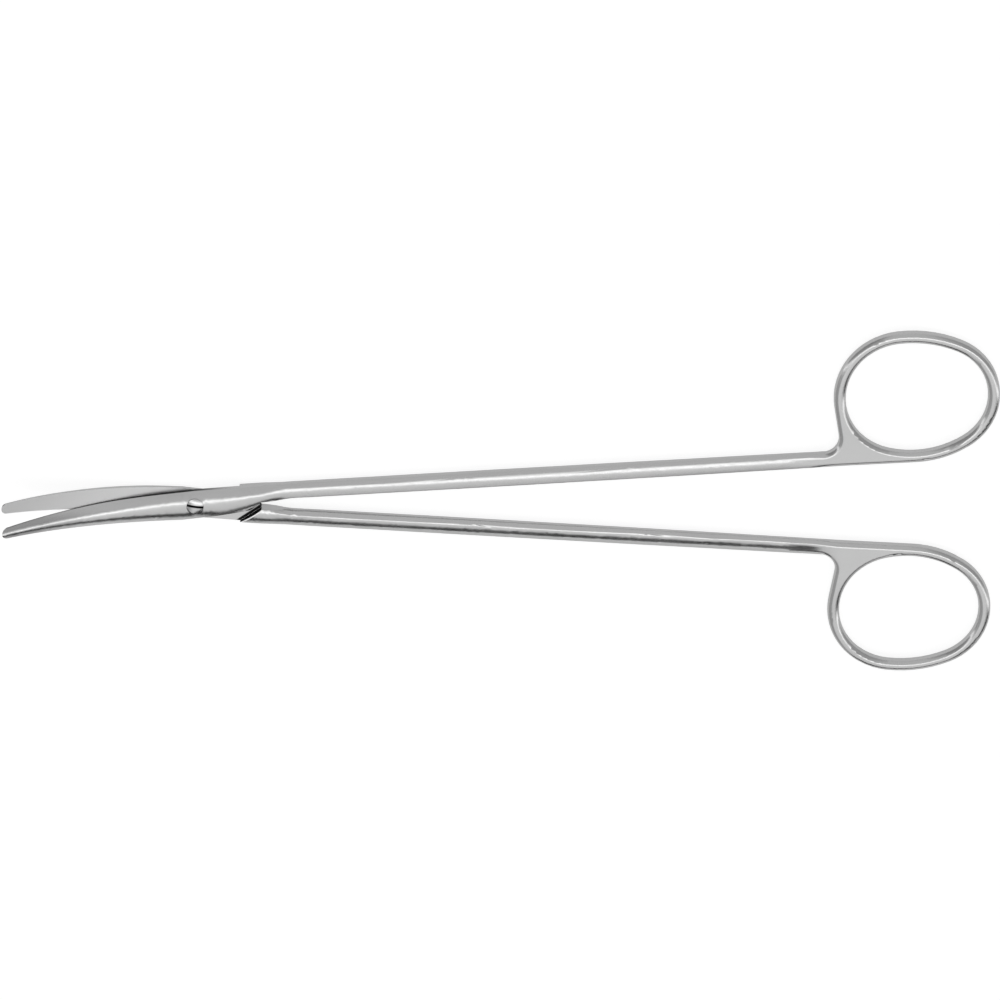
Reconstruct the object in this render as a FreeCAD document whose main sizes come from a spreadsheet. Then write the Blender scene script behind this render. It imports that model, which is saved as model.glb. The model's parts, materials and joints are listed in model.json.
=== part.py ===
import FreeCAD, Part
import math
import os
import Sketcher

# Dissecting scissors, curved on the flat, made of two forged halves and a slotted pivot screw.
# Millimetres. The origin is on the pivot axis, at the flat underside of the joint.
# X runs from the pivot towards the finger rings, and Z is up, the way the blade tips curve.
#
# Each half is drawn closed, in a frame of its own: the pivot at its origin, its handle on the
# side of positive Y, its blade's spine on the other side, and its sliding face on the XY plane
# with the metal above it. The rear half is the same forging turned over about X, so its blade
# is bent the other way in its own frame.

SIZES = {
    # Blade, measured from the pivot
    "blade_length": 44.0,
    "blade_spine_width": 3.66,
    "blade_spine_bow": 640.0,
    "tip_radius": 1.25,
    "tip_side": 0.52,
    "bend_start": 6.5,
    "bend_radius": 74.0,
    "sliding_gap": 0.1,
    # Joint
    "joint_edge_width": 3.55,
    "lap_end_width": 2.1,
    "shoulder_reach": 15.45,
    "shoulder_slant": 4.25,
    "shoulder_drop": 3.27,
    "shoulder_clearance": 0.18,
    "flat_depth": 0.1,
    "flat_start": 9.0,
    "flat_end": 19.0,
    # Handle
    "shank_outer": 3.95,
    "shank_flare": 0.65,
    "shank_fade": 26.0,
    "shank_clearance": 0.1,
    "ring_near_reach": 164.3,
    "ring_near_side": 17.5,
    "ring_near_radius": 13.4,
    "ring_stretch": 7.0,
    "ring_far_drop": 0.25,
    "ring_far_radius": 12.2,
    "ring_outer_radius": 26.0,
    "ring_inner_radius": 21.5,
    "ring_bar_width": 2.74,
    "ring_bar_height": 2.9,
    "ring_edge_radius": 1.2,
    "web_length": 26.3,
    "web_inner": 1.1,
    "web_outer": 4.5,
    "web_lean": 6.5,
    "web_corner_radius": 3.8,
    # Pivot screw
    "screw_thread": 2.5,
    "screw_shoulder": 2.8,
    "screw_head": 3.84,
    "screw_head_height": 0.8,
    "screw_dome": 0.32,
    "screw_seat": 1.05,
    "screw_slot_width": 0.56,
    "screw_slot_depth": 0.6,
    "screw_slot_angle": -8.0,
    "running_clearance": 0.03,
    "head_clearance": 0.05,
    "seat_clearance": 0.05,
    # Pose as it lies
    "opening": 6.6,
}

# Cross-sections of the forging, each an oval of four quarter-turn arcs: how far along its stretch,
# how far its middle lies to the side, half its width and half its height, the width always the
# larger. Blade stations are shares of the blade's length, joint stations shares of the reach to
# the shoulder, and handle stations shares of the reach to the ring.
BLADE_STATIONS = (
    ("tip", 1.02, -0.60, 1.62, 0.78),
    ("fore", 0.92, -0.68, 1.86, 0.92),
    ("belly", 0.70, -0.82, 2.50, 1.27),
    ("waist", 0.42, -0.70, 3.35, 1.74),
    ("heel", 0.17, -0.24, 4.12, 2.09),
)
JOINT_STATIONS = (
    ("pivot", 0.0, 0.0, 4.50, 2.18),
    ("lap", 0.45, 0.25, 4.40, 2.18),
    ("crotch", 0.98, 1.30, 2.95, 2.06),
)
NECK_STATIONS = (
    ("neck", 0.122, 1.98, 2.08, 2.02),
    ("root", 0.15, 2.12, 1.97, 1.95),
)
SHANK_STATIONS = (
    ("middle", 0.55, 2.47, 2.00, 1.87),
    ("wrist", 0.95, 2.86, 1.86, 1.34),
)

STATIONS = BLADE_STATIONS + JOINT_STATIONS + NECK_STATIONS + SHANK_STATIONS
STATION_FIELDS = ("share", "shift", "half_width", "half_height")

# Room that a cut or a trim needs past the metal, so that it clears it
MARGIN = {
    "cut_reach": 54.0,
    "cut_side": 12.0,
    "cut_depth": 24.0,
}

HALF_TURN = 180.0

# Shorter than any real edge, for telling edges apart
NO_LENGTH = 1e-4

# The zero of a sketch's own axis
AXIS = "0"

doc = FreeCAD.newDocument("dissecting_scissors")


def make_sheet():
    """Put every driving size in one spreadsheet, with its name as its alias."""
    sheet = doc.addObject("Spreadsheet::Sheet", "Sizes")
    rows = dict(SIZES)
    rows.update(MARGIN)
    for name, *fields in STATIONS:
        for field, number in zip(STATION_FIELDS, fields):
            rows[name + "_" + field] = number
    for row, (alias, number) in enumerate(rows.items(), start=1):
        sheet.set("A%d" % row, alias)
        sheet.set("B%d" % row, str(number))
        sheet.setAlias("B%d" % row, alias)
    doc.recompute()
    return sheet


sheet = make_sheet()


def value(expression):
    """The number that an expression of the sheet's names comes to."""
    return float(sheet.evalExpression(expression))


def plane(body, role):
    return next(f for f in body.Origin.OriginFeatures if f.Role == role)


def sketch_on(body, role, name, offset=None):
    """A sketch on one of the body's own origin planes, moved along its normal by an expression."""
    sketch = body.newObject("Sketcher::SketchObject", name)
    sketch.AttachmentSupport = [(plane(body, role), "")]
    sketch.MapMode = "FlatFace"
    if offset:
        sketch.setExpression("AttachmentOffset.Base.z", offset)
    return sketch


def bind(sketch, kind, expression, *references):
    """Add a driving dimension whose number comes from the sheet."""
    number = value(expression)
    if kind == "Angle":
        number = math.radians(number)
    index = sketch.addConstraint(Sketcher.Constraint(kind, *references, number))
    name = "size_%d" % index
    sketch.renameConstraint(index, name)
    sketch.setExpression("Constraints." + name, expression)


def place(sketch, geometry, point, x, y):
    """Fix a point of a sketch at two expressions."""
    bind(sketch, "DistanceX", x, -1, 1, geometry, point)
    bind(sketch, "DistanceY", y, -1, 1, geometry, point)


# How a sketch constraint names the points of an arc or a line
START, END, CENTRE = range(1, 4)


def vector(x, y):
    return FreeCAD.Vector(x, y, 0)


def arc_centre(first, last, radius, turn):
    """Centre of the arc of this radius between two points, on the left for a turn of 1."""
    chord = last - first
    middle = (first + last) * 0.5
    rise = math.sqrt(radius ** 2 - (chord.Length * 0.5) ** 2)
    left = vector(-chord.y, chord.x).normalize()
    return middle + left * rise * turn


def arc_through(first, last, centre, turn):
    """A short arc from one point to another. Sketch arcs always run anticlockwise."""
    axis = FreeCAD.Vector(0, 0, 1)
    circle = Part.Circle(centre, axis, (first - centre).Length)
    begin, finish = (first, last) if turn > 0 else (last, first)
    angles = [math.atan2(p.y - centre.y, p.x - centre.x) for p in (begin, finish)]
    return Part.ArcOfCircle(circle, angles[0], angles[1])


def closed_wire(sketch, corners):
    """Draw a closed wire. Each corner is x, y and, where an arc leaves it, its radius and turn."""
    points = [vector(value(c[0]), value(c[1])) for c in corners]
    ends = []
    for index, corner in enumerate(corners):
        first = points[index]
        last = points[(index + 1) % len(points)]
        if len(corner) == 2:
            geometry = sketch.addGeometry(Part.LineSegment(first, last), False)
            ends.append((geometry, START, END))
            continue
        radius, turn = corner[2:]
        centre = arc_centre(first, last, value(radius), turn)
        geometry = sketch.addGeometry(arc_through(first, last, centre, turn), False)
        ends.append((geometry, START, END) if turn > 0 else (geometry, END, START))
    for index, corner in enumerate(corners):
        geometry, begin, finish = ends[index]
        following, next_begin, unused = ends[(index + 1) % len(ends)]
        sketch.addConstraint(
            Sketcher.Constraint("Coincident", geometry, finish, following, next_begin))
        place(sketch, geometry, begin, corner[0], corner[1])
        if len(corner) > 2:
            bind(sketch, "Radius", corner[2], geometry)


def touch(arcs, large, small):
    """Where a large arc runs into the small arc inside it."""
    out = (arcs[small][0] - arcs[large][0]).normalize()
    return arcs[small][0] + out * arcs[small][1]


def draw_arcs(sketch, arcs, order):
    """Draw arcs one after another, each about its centre between two points."""
    return {
        part: sketch.addGeometry(arc_through(first, last, arcs[part][0], 1), False)
        for part, first, last in order
    }


def join_arcs(sketch, chain):
    """Make a closed chain of arcs run smoothly into each other."""
    for geometry, following in zip(chain, chain[1:] + chain[:1]):
        sketch.addConstraint(Sketcher.Constraint("Tangent", geometry, END, following, START))


def oval_section(body, name, along, lift):
    """One cross-section of the forging, an oval of two tight and two wide quarter-turn arcs."""
    sketch = sketch_on(body, "YZ_Plane", "section_" + name, along)
    height = "Sizes.%s_half_height" % name
    width = "Sizes.%s_half_width" % name
    tight = "(((1 + sqrt(2)) * %s - %s) / sqrt(2))" % (height, width)
    apart = "(%s - %s)" % (width, tight)
    wide = "(%s + %s)" % (height, apart)
    middle = vector(value("Sizes.%s_shift" % name), value(lift))
    across = vector(value(apart), 0)
    down = vector(0, value(apart))
    arcs = {
        "right": (middle + across, value(tight)),
        "top": (middle - down, value(wide)),
        "left": (middle - across, value(tight)),
        "bottom": (middle + down, value(wide)),
    }
    order = (
        ("right", touch(arcs, "bottom", "right"), touch(arcs, "top", "right")),
        ("top", touch(arcs, "top", "right"), touch(arcs, "top", "left")),
        ("left", touch(arcs, "top", "left"), touch(arcs, "bottom", "left")),
        ("bottom", touch(arcs, "bottom", "left"), touch(arcs, "bottom", "right")),
    )
    drawn = draw_arcs(sketch, arcs, order)
    join_arcs(sketch, [drawn[part] for part, *unused in order])
    place(sketch, drawn["right"], CENTRE, "Sizes.%s_shift + %s" % (name, apart), lift)
    place(sketch, drawn["left"], CENTRE, "Sizes.%s_shift - %s" % (name, apart), lift)
    bind(sketch, "Radius", tight, drawn["right"])
    bind(sketch, "Radius", tight, drawn["left"])
    bind(sketch, "Radius", wide, drawn["top"])
    bind(sketch, "Radius", wide, drawn["bottom"])
    return sketch


def handle_section(body, name):
    along = "Sizes.ring_near_reach * Sizes.%s_share" % name
    return oval_section(body, name, along, AXIS)


def loft_through(body, name, sections):
    loft = body.newObject("PartDesign::AdditiveLoft", name)
    loft.Profile = sections[0]
    loft.Sections = sections[1:]
    return loft


def forging(body, bend):
    """Loft the blade and joint on the blade's bend, and then the long shank into the web."""
    sections = []
    rise = "%d * (Sizes.bend_radius - sqrt(Sizes.bend_radius ^ 2 - (%s) ^ 2))"
    for name, *unused in BLADE_STATIONS:
        along = "Sizes.blade_length * Sizes.%s_share" % name
        past = "max(0; %s - Sizes.bend_start)" % along
        sections.append(oval_section(body, name, "-" + along, rise % (bend, past)))
    for name, *unused in JOINT_STATIONS:
        along = "Sizes.shoulder_reach * Sizes.%s_share" % name
        sections.append(oval_section(body, name, along, AXIS))
    for name, *unused in NECK_STATIONS:
        sections.append(handle_section(body, name))
    loft_through(body, "blade_and_joint", sections)
    doc.recompute()
    shank = [sections[-1]] + [handle_section(body, name) for name, *unused in SHANK_STATIONS]
    loft_through(body, "shank", shank)


def ring_arcs(extra):
    """The four arcs of the ring's egg, each with its centre and radius, widened by a bar."""
    near = vector(value("ring_near_reach"), value("ring_near_side"))
    far = near + vector(value("ring_stretch"), -value("ring_far_drop"))
    radii = {
        "near": value("ring_near_radius"),
        "far": value("ring_far_radius"),
        "outer": value("ring_outer_radius"),
        "inner": value("ring_inner_radius"),
    }
    centres = {"near": near, "far": far}
    for side, turn in (("outer", -1), ("inner", 1)):
        to_near = radii[side] - radii["near"]
        to_far = radii[side] - radii["far"]
        span = far - near
        reach = (to_near ** 2 - to_far ** 2 + span.Length ** 2) / (2 * span.Length)
        rise = math.sqrt(to_near ** 2 - reach ** 2)
        ahead = vector(span.x, span.y).normalize()
        left = vector(-ahead.y, ahead.x)
        centres[side] = near + ahead * reach + left * rise * turn
    return {side: (centres[side], radii[side] + extra) for side in centres}


def fix_egg(sketch, drawn, extra):
    """Hold the end arcs by their centres, and every arc by its radius."""
    place(sketch, drawn["near"], CENTRE, "Sizes.ring_near_reach", "Sizes.ring_near_side")
    place(sketch, drawn["far"], CENTRE, "Sizes.ring_near_reach + Sizes.ring_stretch",
          "Sizes.ring_near_side - Sizes.ring_far_drop")
    for side in ("near", "far", "outer", "inner"):
        bind(sketch, "Radius", "Sizes.ring_%s_radius%s" % (side, extra), drawn[side])


def ring_hole(body):
    """The finger hole, an egg of four arcs that run into each other."""
    sketch = sketch_on(body, "XY_Plane", "finger_hole")
    arcs = ring_arcs(0.0)
    order = (
        ("near", touch(arcs, "outer", "near"), touch(arcs, "inner", "near")),
        ("inner", touch(arcs, "inner", "near"), touch(arcs, "inner", "far")),
        ("far", touch(arcs, "inner", "far"), touch(arcs, "outer", "far")),
        ("outer", touch(arcs, "outer", "far"), touch(arcs, "outer", "near")),
    )
    drawn = draw_arcs(sketch, arcs, order)
    join_arcs(sketch, [drawn[side] for side, *unused in order])
    fix_egg(sketch, drawn, "")
    cut = body.newObject("PartDesign::Pocket", "finger_hole_cut")
    cut.Profile = sketch
    cut.Type = "Length"
    cut.Midplane = True
    cut.setExpression("Length", "Sizes.cut_depth")
    return cut


def ring_outline(body):
    """The ring's outer edge, the web's straight edge and corner, and its root in the shank."""
    sketch = sketch_on(body, "XY_Plane", "ring_outline")
    arcs = ring_arcs(value("ring_bar_width"))
    start = "Sizes.ring_near_reach - Sizes.web_length"
    root_inner = vector(value(start), value("web_inner"))
    root_outer = vector(value(start), value("web_outer"))
    centre, radius = arcs["inner"]
    away = centre - root_inner
    swing = math.asin(radius / away.Length)
    heading = math.atan2(away.y, away.x) - swing
    run = away.Length * math.cos(swing)
    foot = root_inner + vector(math.cos(heading), math.sin(heading)) * run
    lean = math.radians(value("web_lean"))
    near, near_radius = arcs["near"]
    edge_top = near + vector(-math.cos(lean), -math.sin(lean)) * near_radius
    down = vector(math.sin(lean), -math.cos(lean))
    corner = value("web_corner_radius")
    outward = vector(-math.cos(lean), -math.sin(lean))
    drop = (edge_top.y + outward.y * corner - root_outer.y - corner) / math.cos(lean)
    edge_foot = edge_top + down * drop
    bend = edge_foot + outward * corner
    shank_end = vector(bend.x, root_outer.y)
    order = (
        ("inner", foot, touch(arcs, "inner", "far")),
        ("far", touch(arcs, "inner", "far"), touch(arcs, "outer", "far")),
        ("outer", touch(arcs, "outer", "far"), touch(arcs, "outer", "near")),
        ("near", touch(arcs, "outer", "near"), edge_top),
    )
    lead = sketch.addGeometry(Part.LineSegment(root_inner, foot), False)
    drawn = draw_arcs(sketch, arcs, order)
    edge = sketch.addGeometry(Part.LineSegment(edge_top, edge_foot), False)
    fillet = sketch.addGeometry(arc_through(edge_foot, shank_end, bend, -1), False)
    side = sketch.addGeometry(Part.LineSegment(shank_end, root_outer), False)
    root = sketch.addGeometry(Part.LineSegment(root_outer, root_inner), False)
    chain = (
        (lead, END, drawn["inner"], START),
        (drawn["inner"], END, drawn["far"], START),
        (drawn["far"], END, drawn["outer"], START),
        (drawn["outer"], END, drawn["near"], START),
        (drawn["near"], END, edge, START),
        (edge, END, fillet, END),
        (fillet, START, side, START),
    )
    for link in chain:
        sketch.addConstraint(Sketcher.Constraint("Tangent", *link))
    sketch.addConstraint(Sketcher.Constraint("Tangent", drawn["inner"], drawn["near"]))
    sketch.addConstraint(Sketcher.Constraint("Coincident", side, END, root, START))
    sketch.addConstraint(Sketcher.Constraint("Coincident", root, END, lead, START))
    sketch.addConstraint(Sketcher.Constraint("Horizontal", side))
    place(sketch, root, START, start, "Sizes.web_outer")
    place(sketch, root, END, start, "Sizes.web_inner")
    bind(sketch, "Angle", "Sizes.web_lean - %g" % (HALF_TURN / 2), edge)
    bind(sketch, "Radius", "Sizes.web_corner_radius", fillet)
    fix_egg(sketch, drawn, " + Sizes.ring_bar_width")
    pad = body.newObject("PartDesign::Pad", "ring_and_web")
    pad.Profile = sketch
    pad.Midplane = True
    pad.setExpression("Length", "Sizes.ring_bar_height")
    return pad


def round_ring(body, base):
    """Round the ring and web along every edge but those of its root inside the shank."""
    root = value("ring_near_reach - web_length")
    names = []
    for index, edge in enumerate(base.Shape.Edges, start=1):
        box = edge.BoundBox
        if box.ZLength < NO_LENGTH and box.XMax > root + NO_LENGTH:
            names.append("Edge%d" % index)
    rounding = body.newObject("PartDesign::Fillet", "ring_rounding")
    rounding.Base = (base, names)
    rounding.setExpression("Radius", "Sizes.ring_edge_radius")
    return rounding


def cut_to_depth(body, name, sketch, reversed_cut=False):
    """Cut a sketch away to the far side of the metal, up or down from its plane."""
    cut = body.newObject("PartDesign::Pocket", name)
    cut.Profile = sketch
    cut.Type = "Length"
    cut.Reversed = reversed_cut
    cut.setExpression("Length", "Sizes.cut_depth")
    return cut


def trim_outline(body):
    """Grind the half to its outline: the blade's edge, round tip and spine, the lap and the neck."""
    sketch = sketch_on(body, "XY_Plane", "outline")
    tip_x = "-Sizes.blade_length + Sizes.tip_radius"
    lap_end = ("Sizes.shoulder_reach - Sizes.shoulder_clearance"
               " - Sizes.shoulder_slant * Sizes.lap_end_width / Sizes.shoulder_drop")
    corners = (
        ("Sizes.shank_fade", "Sizes.shank_outer + Sizes.shank_flare"),
        ("Sizes.shoulder_reach", "Sizes.shank_outer"),
        (AXIS, "Sizes.joint_edge_width"),
        (tip_x, "-Sizes.tip_side + Sizes.tip_radius", "Sizes.tip_radius", 1),
        ("-Sizes.blade_length", "-Sizes.tip_side", "Sizes.tip_radius", 1),
        (tip_x, "-Sizes.tip_side - Sizes.tip_radius", "Sizes.blade_spine_bow", 1),
        ("-Sizes.bend_start / 2", "-Sizes.blade_spine_width"),
        (lap_end, "-Sizes.lap_end_width"),
        ("Sizes.shoulder_reach - Sizes.shoulder_clearance", "Sizes.shank_clearance"),
        ("Sizes.shank_fade", "Sizes.shank_clearance"),
        ("Sizes.shank_fade", "-Sizes.cut_side"),
        ("-Sizes.cut_reach", "-Sizes.cut_side"),
        ("-Sizes.cut_reach", "Sizes.cut_side"),
        ("Sizes.shank_fade", "Sizes.cut_side"),
    )
    closed_wire(sketch, corners)
    cut = body.newObject("PartDesign::Pocket", "outline_cut")
    cut.Profile = sketch
    cut.Type = "Length"
    cut.Midplane = True
    cut.setExpression("Length", "Sizes.cut_depth * 2")
    return cut


def sliding_face(body, bend):
    """Turn the blade's inner face about the pivot, so that the blades pass at any opening."""
    sketch = sketch_on(body, "XZ_Plane", "sliding_profile")
    end = "-Sizes.cut_reach"
    face = "Sizes.sliding_gap / 2"
    tail = ("%s + %d * (Sizes.bend_radius - sqrt(Sizes.bend_radius ^ 2"
            " - (Sizes.cut_reach - Sizes.bend_start) ^ 2))" % (face, bend))
    corners = (
        (AXIS, face),
        ("-Sizes.bend_start", face, "Sizes.bend_radius", -bend),
        (end, tail),
        (end, "-Sizes.cut_depth * 2"),
        (AXIS, "-Sizes.cut_depth * 2"),
    )
    closed_wire(sketch, corners)
    cut = body.newObject("PartDesign::Groove", "sliding_face")
    cut.Profile = sketch
    cut.ReferenceAxis = (sketch, ["V_Axis"])
    cut.Midplane = True
    cut.Angle = HALF_TURN
    return cut


def lap_recess(body):
    """Cut away the other half's layer between the pivot and the slanting shoulder."""
    sketch = sketch_on(body, "XY_Plane", "lap_recess", "Sizes.sliding_gap / 2")
    back = "-Sizes.bend_start / 4"
    far_side = "Sizes.cut_side / 2"
    slant_end = ("Sizes.shoulder_reach - Sizes.shoulder_slant * %s / Sizes.shoulder_drop" % far_side)
    corners = (
        (back, "-" + far_side),
        ("Sizes.shoulder_reach", "-" + far_side),
        ("Sizes.shoulder_reach", AXIS),
        (slant_end, far_side),
        (back, far_side),
    )
    closed_wire(sketch, corners)
    return cut_to_depth(body, "lap_recess_cut", sketch)


def round_hole(body, name, diameter, offset, reversed_cut=False):
    """Cut a round hole on the pivot axis, away from its plane."""
    sketch = sketch_on(body, "XY_Plane", name, offset)
    axis = FreeCAD.Vector(0, 0, 1)
    circle = sketch.addGeometry(Part.Circle(vector(0, 0), axis, value(diameter) / 2), False)
    sketch.addConstraint(Sketcher.Constraint("Coincident", circle, CENTRE, -1, 1))
    bind(sketch, "Diameter", diameter, circle)
    return cut_to_depth(body, name + "_cut", sketch, reversed_cut)


def cut_in(body, feature, *arguments):
    """Add a cutting feature to a body, and stop if the body doesn't change or comes out bad."""
    before = body.Shape
    feature(body, *arguments)
    doc.recompute()
    after = body.Shape
    idle = after.Volume >= before.Volume and len(after.Faces) == len(before.Faces)
    if idle or not after.isValid():
        raise RuntimeError("bad cut: " + feature.__name__)


def make_half(label, bend, finish=None):
    """One forging, with its bend up or down in its own frame, and any flat ground on it first."""
    body = doc.addObject("PartDesign::Body", label)
    body.Label = label
    ring_outline(body)
    doc.recompute()
    hole = ring_hole(body)
    doc.recompute()
    round_ring(body, hole)
    doc.recompute()
    forging(body, bend)
    doc.recompute()
    if finish:
        cut_in(body, finish)
    cut_in(body, sliding_face, bend)
    cut_in(body, trim_outline)
    cut_in(body, lap_recess)
    return body


def rest_flat(body):
    """The narrow flat on the underside of the joint, which the scissors lie on."""
    sketch = sketch_on(body, "XY_Plane", "rest_flat", "Sizes.pivot_half_height - Sizes.flat_depth")
    corners = (
        ("-Sizes.flat_start", "-Sizes.cut_side / 2"),
        ("Sizes.flat_end", "-Sizes.cut_side / 2"),
        ("Sizes.flat_end", "Sizes.cut_side / 2"),
        ("-Sizes.flat_start", "Sizes.cut_side / 2"),
    )
    closed_wire(sketch, corners)
    return cut_to_depth(body, "rest_flat_cut", sketch, True)


def make_front_half():
    body = make_half("front_half", 1)
    way = "Sizes.screw_shoulder + 2 * Sizes.running_clearance"
    seat = "Sizes.screw_head + 2 * Sizes.head_clearance"
    cut_in(body, round_hole, "screw_way", way, "-Sizes.cut_side", True)
    cut_in(body, round_hole, "head_seat", seat, "Sizes.screw_seat - Sizes.seat_clearance", True)
    return body


def make_rear_half():
    body = make_half("rear_half", -1, rest_flat)
    cut_in(body, round_hole, "thread_hole", "Sizes.screw_thread", "-Sizes.cut_side", True)
    return body


def driver_slot(body, floor):
    """The straight slot across the head."""
    sketch = sketch_on(body, "XY_Plane", "driver_slot", floor)
    sketch.setExpression("AttachmentOffset.Rotation.Angle", "Sizes.screw_slot_angle")
    corners = (
        ("-Sizes.screw_head", "-Sizes.screw_slot_width / 2"),
        ("Sizes.screw_head", "-Sizes.screw_slot_width / 2"),
        ("Sizes.screw_head", "Sizes.screw_slot_width / 2"),
        ("-Sizes.screw_head", "Sizes.screw_slot_width / 2"),
    )
    closed_wire(sketch, corners)
    return cut_to_depth(body, "driver_slot_cut", sketch, True)


def make_screw():
    """The pivot screw, turned in one piece, with a slot across its head."""
    body = doc.addObject("PartDesign::Body", "pivot_screw")
    body.Label = "pivot_screw"
    sketch = sketch_on(body, "XZ_Plane", "screw_profile")
    low = "-(Sizes.pivot_half_height - Sizes.flat_depth)"
    step = "-Sizes.sliding_gap / 2"
    top = "Sizes.screw_seat + Sizes.screw_head_height"
    crown = "(Sizes.screw_head ^ 2 / 4 + Sizes.screw_dome ^ 2) / (2 * Sizes.screw_dome)"
    corners = (
        (AXIS, low),
        ("Sizes.screw_thread / 2", low),
        ("Sizes.screw_thread / 2", step),
        ("Sizes.screw_shoulder / 2", step),
        ("Sizes.screw_shoulder / 2", "Sizes.screw_seat"),
        ("Sizes.screw_head / 2", "Sizes.screw_seat"),
        ("Sizes.screw_head / 2", top, crown, 1),
        (AXIS, top + " + Sizes.screw_dome"),
    )
    closed_wire(sketch, corners)
    turned = body.newObject("PartDesign::Revolution", "turned_screw")
    turned.Profile = sketch
    turned.ReferenceAxis = (sketch, ["V_Axis"])
    doc.recompute()
    cut_in(body, driver_slot, top + " - Sizes.screw_slot_depth")
    return body


def check(bodies):
    """Stop if any object failed or any piece is not one valid solid."""
    for item in doc.Objects:
        if "Invalid" in item.State or "Error" in item.State:
            raise RuntimeError("failed: " + item.Name)
    for body in bodies:
        shape = body.Shape
        if shape.isNull() or not shape.isValid() or len(shape.Solids) != 1:
            raise RuntimeError("bad shape: " + body.Label)
        print(body.Label, round(shape.Volume, 2), "mm3")


front = make_front_half()
rear = make_rear_half()
screw = make_screw()

# The origin is at the flat underside of the joint, and each half turns by half the opening
height = "Sizes.pivot_half_height - Sizes.flat_depth"
for body in (front, rear, screw):
    body.setExpression("Placement.Base.z", height)
front.setExpression("Placement.Rotation.Angle", "Sizes.opening / 2")
rear.setExpression("Placement.Rotation.Axis.x", "cos(Sizes.opening / 4)")
rear.setExpression("Placement.Rotation.Axis.y", "-sin(Sizes.opening / 4)")
rear.setExpression("Placement.Rotation.Axis.z", "0")
rear.setExpression("Placement.Rotation.Angle", "%g" % HALF_TURN)
doc.recompute()
check([front, rear, screw])

os.makedirs("parts", exist_ok=True)
for body in (front, rear, screw):
    body.Shape.exportStep("parts/" + body.Label + ".step")
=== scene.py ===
import json
import math

import bpy
from mathutils import Matrix, Vector


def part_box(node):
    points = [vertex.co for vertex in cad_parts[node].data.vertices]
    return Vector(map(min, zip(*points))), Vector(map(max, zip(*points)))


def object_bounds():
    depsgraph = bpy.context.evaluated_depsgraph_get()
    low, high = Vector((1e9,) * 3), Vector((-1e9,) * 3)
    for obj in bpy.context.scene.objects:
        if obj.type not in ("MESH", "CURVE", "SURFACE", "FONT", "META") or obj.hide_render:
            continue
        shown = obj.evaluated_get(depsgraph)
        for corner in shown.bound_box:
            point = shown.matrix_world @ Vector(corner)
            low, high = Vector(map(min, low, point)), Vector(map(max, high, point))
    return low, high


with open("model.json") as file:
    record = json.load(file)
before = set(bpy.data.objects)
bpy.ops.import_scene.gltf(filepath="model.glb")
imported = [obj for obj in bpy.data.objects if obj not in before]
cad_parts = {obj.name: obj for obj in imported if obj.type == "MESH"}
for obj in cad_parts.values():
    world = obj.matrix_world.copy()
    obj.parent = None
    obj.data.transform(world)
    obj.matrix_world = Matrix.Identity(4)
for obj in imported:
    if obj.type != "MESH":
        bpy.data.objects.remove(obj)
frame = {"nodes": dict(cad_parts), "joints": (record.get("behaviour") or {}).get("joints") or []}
CAD_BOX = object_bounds()

# Dissecting scissors, lying slightly open on a white table. Metres, in the frame of the CAD model:
# X runs from the pivot towards the finger rings, and Z is up.

# Camera, placed by the joint and the length of the scissors in the photograph
PIVOT_HEIGHT = frame["joints"][0]["pos_m"][2]
LOOK_AT = Vector((0.07043, 0.00077, PIVOT_HEIGHT))
DISTANCE = 1.1565
CAMERA_LEAN = math.radians(25)
LENS = 180
SENSOR = 36

# Table, a little below the scissors: how much light it scatters, what it glows for the camera,
# and the share of that glow that the steel reflects
TABLE_SIZE = 3.0
TABLE_DROP = 0.0001
TABLE_TONE = 0.4
TABLE_GLOW = 0.82
TABLE_MIRRORED = 0.46

# Studio light, in bands that run along the scissors. Each stop is how far its direction leans from
# upright towards the near side, in degrees, with its brightness. The near side is the lower edge
# of the photograph.
STUDIO = (
    (-90, 0.55),
    (-12, 0.55),
    (-7, 0.47),
    (-2, 0.50),
    (6, 0.78),
    (24, 0.74),
    (40, 0.68),
    (90, 0.70),
)

# The studio's brightness along the scissors, by how far a direction leans from upright towards
# the rings, as a factor on the bands
STUDIO_ALONG = (
    (-90, 0.50),
    (-26, 0.50),
    (-12, 1.00),
    (13, 1.00),
    (26, 0.66),
    (90, 0.66),
)

# One long strip light that is added, and one dark gap low on the near side, as a factor. Each is
# turned a little from the line of the scissors.
STRIP_TURN = math.radians(15)
STRIP = (
    (-1, 0.00),
    (3, 0.95),
    (8, 0.95),
    (13, 0.00),
)
GAP_TURN = math.radians(-23)
GAP = (
    (43, 1.00),
    (47, 0.02),
    (59, 0.02),
    (63, 1.00),
)

# Directions along and across the scissors and upwards
ALONG = Vector((1, 0, 0))
ACROSS = Vector((0, 1, 0))
NEAR = Vector((0, -1, 0))
UP = Vector((0, 0, 1))

# From here on, a pair with START, END, WIDTH or CORNER in its name is a soft step between two
# places: nothing yet at the first, and all at the second. One with FACING in its name is the same
# for how far a surface turns to a direction, from 0 for square to it to 1 for straight at it.
WALL_FACING = (0.93, 0.97)
TOP_FACING = (0.5, 0.7)
GROUND_FACING = (0.3, 0.6)

# The share of a width that stays full before its edge fades
FULL_SHARE = 0.8

# Pivot screw: the radius of its head, its slot, and the dark line round its rim
HEAD_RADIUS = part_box("pivot_screw")[1].x
SLOT_TURN = math.radians(-8)
SLOT_HALF_WIDTH = 0.00028
SLOT_SIDE_WIDTH = (SLOT_HALF_WIDTH * 1.1, SLOT_HALF_WIDTH)
RIM_WIDTH = 0.00009
RIM_START = (HEAD_RADIUS - RIM_WIDTH, HEAD_RADIUS - RIM_WIDTH / 3)

# Where the painted shade along the blades' cutting edge starts, and where their ground inner faces
# start, along the scissors
CUTTING_EDGE_SHADE_START = (0.010, -0.002)
GROUND_START = (0.002, -0.002)
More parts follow.
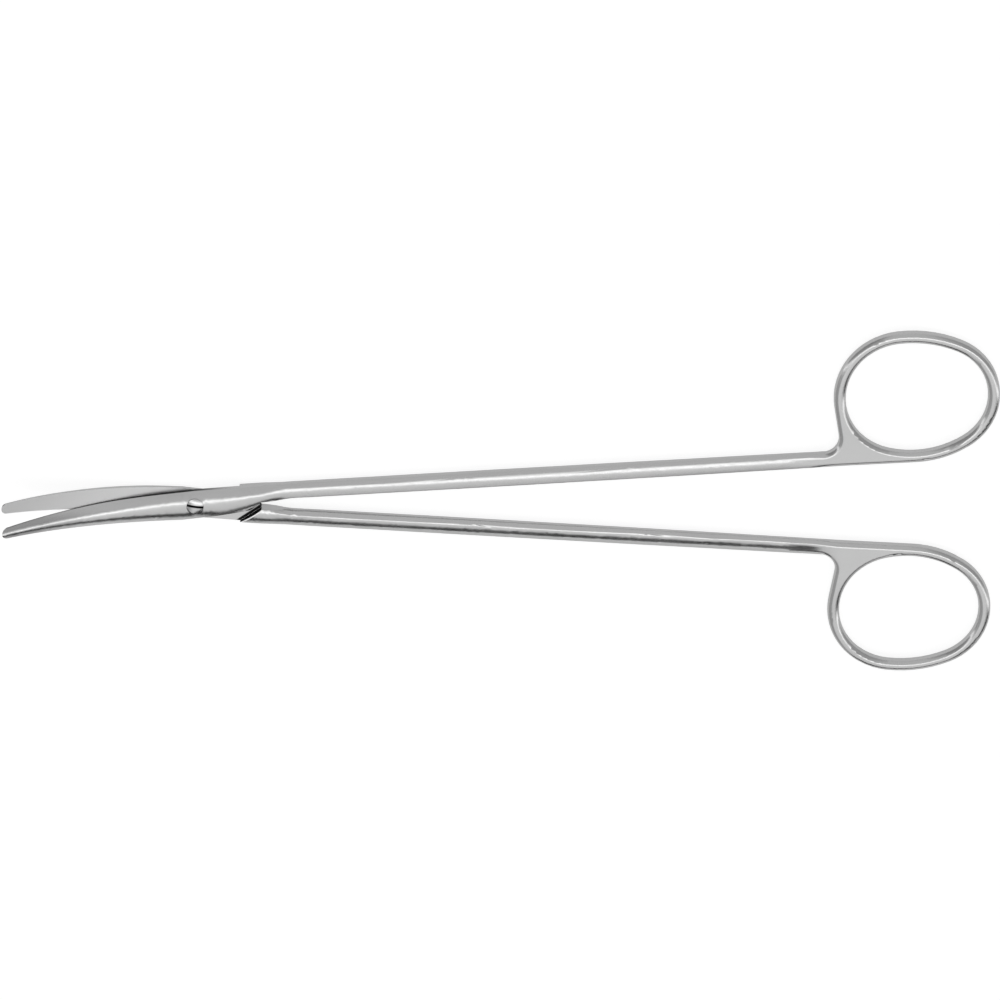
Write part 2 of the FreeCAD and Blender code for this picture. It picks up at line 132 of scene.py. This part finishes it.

# Painted shade as a dark line on the lower edge of the front half's lap: a point on that edge and its
# turn from +X, how far in the line goes, and where it starts and ends along the scissors
LAP_EDGE_POINT = Vector((-0.003034, -0.003841, 0))
LAP_EDGE_TURN = math.radians(8.94)
LAP_SHADE_WIDTH = (0.0004, 0.0001)
LAP_SHADE_START = (0.002, 0.006)
LAP_SHADE_END = (0.012, 0.007)

# Shoulder wall of the rear half: the way that it faces, a point on it, where its shade starts and
# ends along the scissors, and how far the shade reaches over the floor in front of it
SHOULDER_TURN = math.radians(124.3)
SHOULDER_POINT = Vector((0.015424, -0.00089, 0))
SHOULDER_START = (0.009, 0.010)
SHOULDER_END = (0.020, 0.018)
SHOULDER_SHADE = 0.00075
SHOULDER_CORNER = (0.00002, 0.00006)

# Polished edge along the top of that wall: its width, and the way that it faces
POLISHED_WIDTH = 0.00035
POLISHED_CORNER = (-POLISHED_WIDTH / 8, 0.0)
POLISHED_NORMAL = Vector((-0.14, 0.2, 0.97)).normalized()

# The shanks' flats and the soft ridge between them: the angle of the plain round section from
# upright towards the far side, and the angle that the flat gives it there, in degrees
FRONT_FLATS = (
    (-90, -90), (-60, -14), (-45, -10), (-30, -9), (-19, -8), (-10, -5), (-4, -2), (4, 3),
    (11, 6.5), (18, 9), (25, 10.5), (31, 14), (36, 22), (49, 32), (78, 62), (115, 115),
)
REAR_FLATS = (
    (-90, -90), (-45, -45), (-30, -36), (-19, -28), (-10, -20), (-4, -17.5), (4, -14.5),
    (11, -11), (18, -6), (25, 2), (30, 9.5), (34, 17), (40, 24), (60, 45), (78, 68), (115, 115),
)
SHANK_RANGE = (0.013, 0.150)
SHANK_FADE = 0.009

# The same for the front half's lap, whose lower part is flatter
LAP_FLATS = ((-90, -90), (-40, -30), (-20, -14), (0, 0), (180, 180))
LAP_RANGE = (0.003, 0.016)
LAP_FADE = 0.003

# Steels: tone, roughness, and the stretch along each axis and the depth of the polishing grain
SATIN = (0.72, 0.21, (0.25, 1.0, 1.0), 0.0000005)
TURNED = (0.76, 0.20, (1.0, 1.0, 1.0), 0.000002)

# Tone of the painted shade in crevices and on edges, and of the blades' ground inner faces, and the
# roughness that each adds
PAINTED_SHADE_TONE = 0.03
PAINTED_SHADE_MATT = 0.3
GROUND_TONE = 0.9
GROUND_MATT = 0.25

# Cloudiness and grain of the steels: size, detail, and how far each moves the tone, as a share,
# or the roughness to either side
CLOUD_SCALE = 160.0
CLOUD_STRETCH = (0.4, 1.0, 1.0)
CLOUD_DETAIL = 3.0
CLOUD_TONE = 0.04
CLOUD_GLOSS = 0.02
GRAIN_SCALE = 2600.0
GRAIN_DETAIL = 2.0
GRAIN_GLOSS = 0.03
GRAIN_STRENGTH = 0.2

# The range that most of the noise lies in
NOISE_LOW = 0.25
NOISE_HIGH = 0.75


def gray(level):
    """A gray as a colour socket takes it."""
    return (level, level, level, 1.0)


def facing(angle):
    """The level direction at an angle from +X."""
    return Vector((math.cos(angle), math.sin(angle), 0))


def new_material(name):
    """An empty node material, with its node tree and its output."""
    material = bpy.data.materials.new(name)
    material.use_nodes = True
    tree = material.node_tree
    tree.nodes.clear()
    output = tree.nodes.new("ShaderNodeOutputMaterial")
    return material, tree, output


def feed(tree, socket, source):
    """Give a socket a plain value, or link another socket to it."""
    if isinstance(source, bpy.types.NodeSocket):
        tree.links.new(source, socket)
    else:
        socket.default_value = source


def math_node(tree, operation, *inputs):
    """A Math node. Each input is a socket or a number."""
    node = tree.nodes.new("ShaderNodeMath")
    node.operation = operation
    for socket, source in zip(node.inputs, inputs):
        feed(tree, socket, source)
    return node.outputs[0]


def both(tree, *masks):
    """Where all of the masks meet, or the product of some values."""
    product = masks[0]
    for mask in masks[1:]:
        product = math_node(tree, "MULTIPLY", product, mask)
    return product


def either(tree, first, second):
    """Where at least one of two masks is."""
    return math_node(tree, "MAXIMUM", first, second)


def mix(tree, kind, share, first, second):
    """From the first value at a share of 0 to the second at 1."""
    node = tree.nodes.new("ShaderNodeMix")
    node.data_type = kind
    feed(tree, node.inputs["Factor"], share)
    feed(tree, node.inputs["A"], first)
    feed(tree, node.inputs["B"], second)
    return node.outputs["Result"]


def step(tree, source, low, high):
    """A soft step from 0 at low to 1 at high. Low may be the larger."""
    node = tree.nodes.new("ShaderNodeMapRange")
    node.interpolation_type = "SMOOTHSTEP"
    node.inputs["From Min"].default_value = low
    node.inputs["From Max"].default_value = high
    tree.links.new(source, node.inputs["Value"])
    return node.outputs["Result"]


def ramp(tree, source, stops):
    """Straight runs between stops of a position from 0 to 1 and a number from 0 to 1."""
    node = tree.nodes.new("ShaderNodeValToRGB")
    tree.links.new(source, node.inputs["Fac"])
    elements = node.color_ramp.elements
    while len(elements) < len(stops):
        elements.new(0.5)
    for element, (position, level) in zip(elements, stops):
        element.position = position
        element.color = gray(level)
    return node.outputs["Color"]


def along(tree, source, direction):
    """How far a vector reaches in a direction."""
    node = tree.nodes.new("ShaderNodeVectorMath")
    node.operation = "DOT_PRODUCT"
    tree.links.new(source, node.inputs[0])
    node.inputs[1].default_value = direction
    return node.outputs["Value"]


def beyond(tree, place, point, direction):
    """How far a place lies past a point in a direction."""
    return math_node(tree, "SUBTRACT", along(tree, place, direction), point.dot(direction))


def from_pivot(tree, place):
    """Distance from the pivot axis."""
    flat = tree.nodes.new("ShaderNodeVectorMath")
    flat.operation = "MULTIPLY"
    flat.inputs[1].default_value = ALONG + ACROSS
    tree.links.new(place, flat.inputs[0])
    length = tree.nodes.new("ShaderNodeVectorMath")
    length.operation = "LENGTH"
    tree.links.new(flat.outputs["Vector"], length.inputs[0])
    return length.outputs["Value"]


def noise(tree, coordinates, scale, stretch, detail):
    """Noise on the object's own coordinates, stretched by a factor along each axis."""
    mapping = tree.nodes.new("ShaderNodeMapping")
    mapping.inputs["Scale"].default_value = stretch
    tree.links.new(coordinates, mapping.inputs["Vector"])
    texture = tree.nodes.new("ShaderNodeTexNoise")
    texture.inputs["Scale"].default_value = scale
    texture.inputs["Detail"].default_value = detail
    tree.links.new(mapping.outputs["Vector"], texture.inputs["Vector"])
    return texture.outputs["Fac"]


def spread(tree, source, middle, reach):
    """Noise as a value that moves to either side of its middle."""
    node = tree.nodes.new("ShaderNodeMapRange")
    node.inputs["From Min"].default_value = NOISE_LOW
    node.inputs["From Max"].default_value = NOISE_HIGH
    node.inputs["To Min"].default_value = middle - reach
    node.inputs["To Max"].default_value = middle + reach
    tree.links.new(source, node.inputs["Value"])
    return node.outputs["Result"]


def screw_marks(tree, place, normal):
    """Shade in the slot and round the rim of the head."""
    across = along(tree, place, facing(SLOT_TURN + math.pi / 2))
    slot = step(tree, math_node(tree, "ABSOLUTE", across), *SLOT_SIDE_WIDTH)
    rim = step(tree, from_pivot(tree, place), *RIM_START)
    return either(tree, slot, rim)


def front_marks(tree, place, normal):
    """Painted shade: a dark line on the blade's cutting edge and on the lower edge of the lap."""
    reach = along(tree, place, ALONG)
    edge = both(tree, step(tree, along(tree, normal, ACROSS), *WALL_FACING),
                step(tree, reach, *CUTTING_EDGE_SHADE_START))
    inside = beyond(tree, place, LAP_EDGE_POINT, facing(LAP_EDGE_TURN + math.pi / 2))
    lap = both(tree, step(tree, inside, *LAP_SHADE_WIDTH), step(tree, reach, *LAP_SHADE_START),
               step(tree, reach, *LAP_SHADE_END))
    return either(tree, edge, lap)


def rear_marks(tree, place, normal):
    """Shade on the shoulder wall that the front half closes against, and on the floor by it."""
    outward = facing(SHOULDER_TURN)
    reach = along(tree, place, ALONG)
    ahead = beyond(tree, place, SHOULDER_POINT, outward)
    wall = step(tree, along(tree, normal, outward), *WALL_FACING)
    floor = both(tree, step(tree, ahead, SHOULDER_SHADE, SHOULDER_SHADE * FULL_SHARE),
                 step(tree, ahead, *SHOULDER_CORNER), step(tree, reach, *SHOULDER_START))
    return both(tree, either(tree, wall, floor), step(tree, reach, *SHOULDER_END))


def ground_face(tree, place, normal, side):
    """The blade's inner face, which looks up on the rear half and down on the front one."""
    level = step(tree, along(tree, normal, UP * side), *GROUND_FACING)
    return both(tree, level, step(tree, along(tree, place, ALONG), *GROUND_START))


def flatten(tree, place, normal, flats, span, fade):
    """Give the round section its flats between two places along the scissors."""
    parts = tree.nodes.new("ShaderNodeSeparateXYZ")
    tree.links.new(normal, parts.inputs["Vector"])
    angle = math_node(tree, "ARCTAN2", parts.outputs["Y"], parts.outputs["Z"])
    share = math_node(tree, "MULTIPLY_ADD", angle, 0.5 / math.pi, 0.5)
    turns = [(start / 360 + 0.5, end / 360 + 0.5) for start, end in flats]
    stops = [(0.0, 0.0), *turns, (1.0, 1.0)]
    turned = math_node(tree, "MULTIPLY_ADD", ramp(tree, share, stops), 2 * math.pi, -math.pi)
    squares = [both(tree, parts.outputs[axis], parts.outputs[axis]) for axis in ("Y", "Z")]
    length = math_node(tree, "SQRT", math_node(tree, "ADD", *squares))
    shaped = tree.nodes.new("ShaderNodeCombineXYZ")
    tree.links.new(parts.outputs["X"], shaped.inputs["X"])
    tree.links.new(both(tree, math_node(tree, "SINE", turned), length), shaped.inputs["Y"])
    tree.links.new(both(tree, math_node(tree, "COSINE", turned), length), shaped.inputs["Z"])
    reach = along(tree, place, ALONG)
    inside = both(tree, step(tree, reach, span[0], span[0] + fade),
                  step(tree, reach, span[1], span[1] - fade))
    return mix(tree, "VECTOR", inside, normal, shaped.outputs["Vector"])


def front_shape(tree, place, normal):
    """The flats of the front half's lap and shank."""
    lap = flatten(tree, place, normal, LAP_FLATS, LAP_RANGE, LAP_FADE)
    return flatten(tree, place, lap, FRONT_FLATS, SHANK_RANGE, SHANK_FADE)


def rear_shape(tree, place, normal):
    """The flats of the rear half's shank, and the polished edge of its shoulder."""
    shank = flatten(tree, place, normal, REAR_FLATS, SHANK_RANGE, SHANK_FADE)
    behind = beyond(tree, place, SHOULDER_POINT, -facing(SHOULDER_TURN))
    edge = both(tree, step(tree, behind, POLISHED_WIDTH, POLISHED_WIDTH * FULL_SHARE),
                step(tree, behind, *POLISHED_CORNER),
                step(tree, along(tree, normal, UP), *TOP_FACING),
                step(tree, along(tree, place, ALONG), *SHOULDER_END))
    return mix(tree, "VECTOR", edge, shank, POLISHED_NORMAL)


def steel(name, finish, marks, side=0, shape=None):
    """Polished steel: fine grain, cloudy tone, uneven gloss and painted shade in crevices and on
    edges.
    The side is the way that a blade's ground face looks, and the shape gives the section its flats."""
    tone, roughness, grain_stretch, grain_depth = finish
    material, tree, output = new_material(name)
    texture = tree.nodes.new("ShaderNodeTexCoord")
    place = texture.outputs["Object"]
    normal = texture.outputs["Normal"]
    shader = tree.nodes.new("ShaderNodeBsdfPrincipled")
    shader.inputs["Metallic"].default_value = 1.0
    tree.links.new(shader.outputs["BSDF"], output.inputs["Surface"])

    clouds = noise(tree, place, CLOUD_SCALE, CLOUD_STRETCH, CLOUD_DETAIL)
    grain = noise(tree, place, GRAIN_SCALE, grain_stretch, GRAIN_DETAIL)
    colour = mix(tree, "RGBA", clouds, gray(tone * (1 - CLOUD_TONE)), gray(tone * (1 + CLOUD_TONE)))
    shade = marks(tree, place, normal)
    matt = both(tree, shade, PAINTED_SHADE_MATT)
    if side:
        ground = ground_face(tree, place, normal, side)
        matt = either(tree, matt, both(tree, ground, GROUND_MATT))
        colour = mix(tree, "RGBA", ground, colour, gray(GROUND_TONE))
    # Painted shade: the colour goes dark where the marks put shade
    colour = mix(tree, "RGBA", shade, colour, gray(PAINTED_SHADE_TONE))
    tree.links.new(colour, shader.inputs["Base Color"])

    gloss = math_node(tree, "ADD", spread(tree, clouds, 0.0, CLOUD_GLOSS),
                      spread(tree, grain, roughness, GRAIN_GLOSS))
    tree.links.new(math_node(tree, "ADD", gloss, matt), shader.inputs["Roughness"])

    bump = tree.nodes.new("ShaderNodeBump")
    bump.inputs["Strength"].default_value = GRAIN_STRENGTH
    bump.inputs["Distance"].default_value = grain_depth
    tree.links.new(grain, bump.inputs["Height"])
    if shape:
        world = tree.nodes.new("ShaderNodeVectorTransform")
        world.vector_type = "NORMAL"
        world.convert_from = "OBJECT"
        world.convert_to = "WORLD"
        tree.links.new(shape(tree, place, normal), world.inputs["Vector"])
        tree.links.new(world.outputs["Vector"], bump.inputs["Normal"])
    tree.links.new(bump.outputs["Normal"], shader.inputs["Normal"])
    return material


def seen_plainly(tree, path):
    """1 for the rays that see the room and the table at their full white."""
    return either(tree, path.outputs["Is Camera Ray"], path.outputs["Is Transmission Ray"])


def white_table():
    """A table that stays white in the picture, is dimmer in reflections and keeps a soft shadow."""
    material, tree, output = new_material("table_white")
    diffuse = tree.nodes.new("ShaderNodeBsdfDiffuse")
    diffuse.inputs["Color"].default_value = gray(TABLE_TONE)
    glow = tree.nodes.new("ShaderNodeEmission")
    path = tree.nodes.new("ShaderNodeLightPath")
    mirrored = both(tree, path.outputs["Is Glossy Ray"], TABLE_MIRRORED)
    share = either(tree, seen_plainly(tree, path), mirrored)
    tree.links.new(both(tree, share, TABLE_GLOW), glow.inputs["Strength"])
    total = tree.nodes.new("ShaderNodeAddShader")
    tree.links.new(diffuse.outputs["BSDF"], total.inputs[0])
    tree.links.new(glow.outputs["Emission"], total.inputs[1])
    tree.links.new(total.outputs["Shader"], output.inputs["Surface"])
    return material


def make_table():
    """The floor under the scissors, just below their lowest point."""
    half = TABLE_SIZE / 2
    height = CAD_BOX[0].z - TABLE_DROP
    corners = [(x, y, height) for x, y in ((-half, -half), (half, -half), (half, half), (-half, half))]
    mesh = bpy.data.meshes.new("table")
    mesh.from_pydata(corners, [], [(0, 1, 2, 3)])
    table = bpy.data.objects.new("table", mesh)
    mesh.materials.append(white_table())
    bpy.context.scene.collection.objects.link(table)


def bands(tree, direction, axis, stops):
    """Brightness in bands across an axis, by how far a direction leans from upright to it."""
    share = math_node(tree, "MULTIPLY_ADD", along(tree, direction, axis), 0.5, 0.5)
    brightest = max(level for lean, level in stops)
    scaled = [((math.sin(math.radians(lean)) + 1) / 2, level / brightest) for lean, level in stops]
    return both(tree, ramp(tree, share, scaled), brightest)


def white_background(tree):
    """A white background, at a strength of 1 until another is linked to it."""
    node = tree.nodes.new("ShaderNodeBackground")
    node.inputs["Color"].default_value = gray(1.0)
    return node


def make_studio():
    """A white room for the camera, and soft bands of light round the length of the scissors."""
    world = bpy.data.worlds.new("studio")
    bpy.context.scene.world = world
    world.use_nodes = True
    tree = world.node_tree
    tree.nodes.clear()
    output = tree.nodes.new("ShaderNodeOutputWorld")
    direction = tree.nodes.new("ShaderNodeTexCoord").outputs["Generated"]
    room = both(tree, bands(tree, direction, NEAR, STUDIO),
                bands(tree, direction, ALONG, STUDIO_ALONG),
                bands(tree, direction, facing(-GAP_TURN - math.pi / 2), GAP))
    strip = bands(tree, direction, facing(-STRIP_TURN - math.pi / 2), STRIP)
    light = white_background(tree)
    tree.links.new(math_node(tree, "ADD", room, strip), light.inputs["Strength"])
    white = white_background(tree)
    path = tree.nodes.new("ShaderNodeLightPath")
    choice = tree.nodes.new("ShaderNodeMixShader")
    tree.links.new(seen_plainly(tree, path), choice.inputs["Fac"])
    tree.links.new(light.outputs["Background"], choice.inputs[1])
    tree.links.new(white.outputs["Background"], choice.inputs[2])
    tree.links.new(choice.outputs["Shader"], output.inputs["Surface"])


def make_camera():
    """The photograph's view, from above on the far side, with +Y up in the picture."""
    data = bpy.data.cameras.new("camera")
    data.sensor_width = SENSOR
    data.lens = LENS
    data.clip_start = DISTANCE / 10
    data.clip_end = DISTANCE * 10
    camera = bpy.data.objects.new("camera", data)
    bpy.context.scene.collection.objects.link(camera)
    back = Vector((0, math.sin(CAMERA_LEAN), math.cos(CAMERA_LEAN)))
    up = Vector((0, math.cos(CAMERA_LEAN), -math.sin(CAMERA_LEAN)))
    right = up.cross(back)
    turn = Matrix((right, up, back)).transposed().to_4x4()
    camera.matrix_world = Matrix.Translation(LOOK_AT + back * DISTANCE) @ turn
    bpy.context.scene.camera = camera


def dress(node, material):
    """Put a material on every slot of a node."""
    for slot in frame["nodes"][node].material_slots:
        slot.material = material


dress("front_half", steel("satin_front", SATIN, front_marks, -1, front_shape))
dress("rear_half", steel("satin_rear", SATIN, rear_marks, 1, rear_shape))
dress("pivot_screw", steel("screw_steel", TURNED, screw_marks))
make_table()
make_studio()
make_camera()
bpy.context.scene.view_settings.view_transform = "Standard"
